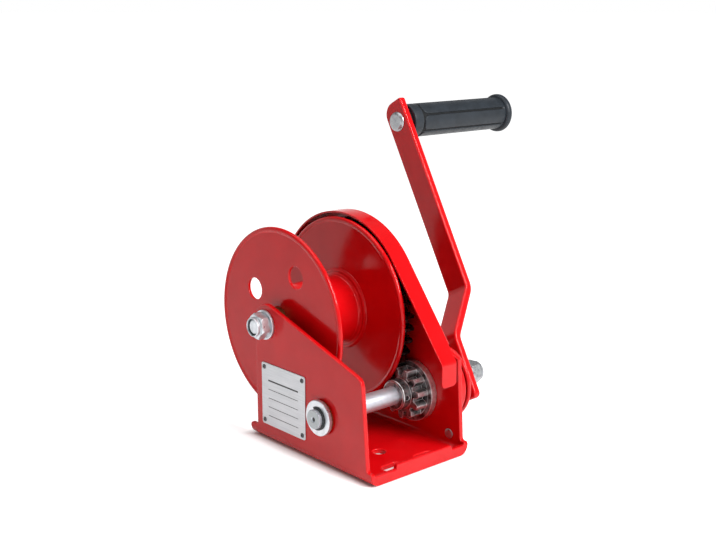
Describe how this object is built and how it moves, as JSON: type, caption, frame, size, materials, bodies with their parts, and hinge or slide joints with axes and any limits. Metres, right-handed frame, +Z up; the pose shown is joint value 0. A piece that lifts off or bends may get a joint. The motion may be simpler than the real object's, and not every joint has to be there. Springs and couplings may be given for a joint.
{
  "type": "hand winch",
  "caption": "Hand-cranked brake winch: a bent sheet frame carries a rope drum, spur gears, a ratchet load brake and a cranked arm with a free-turning grip.",
  "frame": {"origin": "Centre of the base's underside, where the winch is bolted down.", "axes": "+X along the drum's axle towards the crank, +Y to the rear, away from the open front, +Z up."},
  "size_m": [0.3303, 0.2049, 0.2647],
  "materials": {
    "red_paint": "glossy red powder coat",
    "zinc": "bright zinc plate",
    "steel": "bare turned and cut steel",
    "black_steel": "black phosphated spring steel",
    "bronze": "plain bearing bronze",
    "label_aluminium": "satin aluminium, bare",
    "friction": "brake friction lining",
    "nylon": "dark nylon ring",
    "grip_rubber": "matt black moulded grip"
  },
  "bodies": {
    "frame": {"winch_frame": "red_paint", "gear_guard": "red_paint", "name_plate": "label_aluminium", "name_plate_rivets": "zinc", "drum_axle": "zinc", "axle_washers": "zinc", "axle_nut": "zinc", "axle_nut_insert": "nylon", "axle_sleeve": "steel", "shaft_bush_left": "bronze", "shaft_bush_right": "bronze", "brake_housing": "red_paint", "housing_screws": "zinc", "housing_rivet": "zinc", "pawl_post": "zinc", "pawl_clip": "zinc", "pawl_spring": "black_steel"},
    "drum": {"drum_barrel": "red_paint", "drum_flange_left": "red_paint", "drum_flange_right": "red_paint", "drum_gear": "steel", "drum_bushes": "bronze"},
    "drive": {"pinion_shaft": "zinc", "pinion": "steel", "pinion_pin": "black_steel", "shaft_washer": "zinc", "shaft_circlip": "black_steel", "brake_flange": "steel", "friction_disc_inner": "friction", "friction_disc_outer": "friction", "crank_hub": "red_paint", "crank_arm": "red_paint", "crank_washer": "zinc", "crank_nut": "zinc", "crank_nut_insert": "nylon", "grip_pin": "zinc", "grip_washer": "black_steel"},
    "ratchet": {"ratchet_wheel": "steel", "ratchet_bush": "bronze"},
    "pawl": {"pawl": "steel"},
    "grip": {"grip": "grip_rubber"}
  },
  "joints": [
    {"name": "drum_spin", "type": "hinge", "parent": "frame", "child": "drum", "pos_m": [0, 0.052, 0.098], "axis": [1, 0, 0], "continuous": true},
    {"name": "crank_spin", "type": "hinge", "parent": "frame", "child": "drive", "pos_m": [0, -0.01812, 0.03999], "axis": [1, 0, 0], "continuous": true},
    {"name": "grip_spin", "type": "hinge", "parent": "drive", "child": "grip", "pos_m": [0.2, 0.09415, 0.24336], "axis": [1, 0, 0], "continuous": true},
    {"name": "ratchet_step", "type": "hinge", "parent": "frame", "child": "ratchet", "pos_m": [0.06475, -0.01812, 0.03999], "axis": [-1, 0, 0], "range_deg": [0, 34]},
    {"name": "pawl_lift", "type": "hinge", "parent": "frame", "child": "pawl", "pos_m": [0.06475, 0.021, 0.0671], "axis": [1, 0, 0], "range_deg": [0, 6.8], "stiffness_Nm_per_rad": 0.05, "springref_deg": -17.19}
  ],
  "couplings": [
    {"joint": "crank_spin", "follows": "drum_spin", "ratio": -4.0909},
    {"joint": "pawl_lift", "follows": "ratchet_step", "ratio": 0.2}
  ]
}
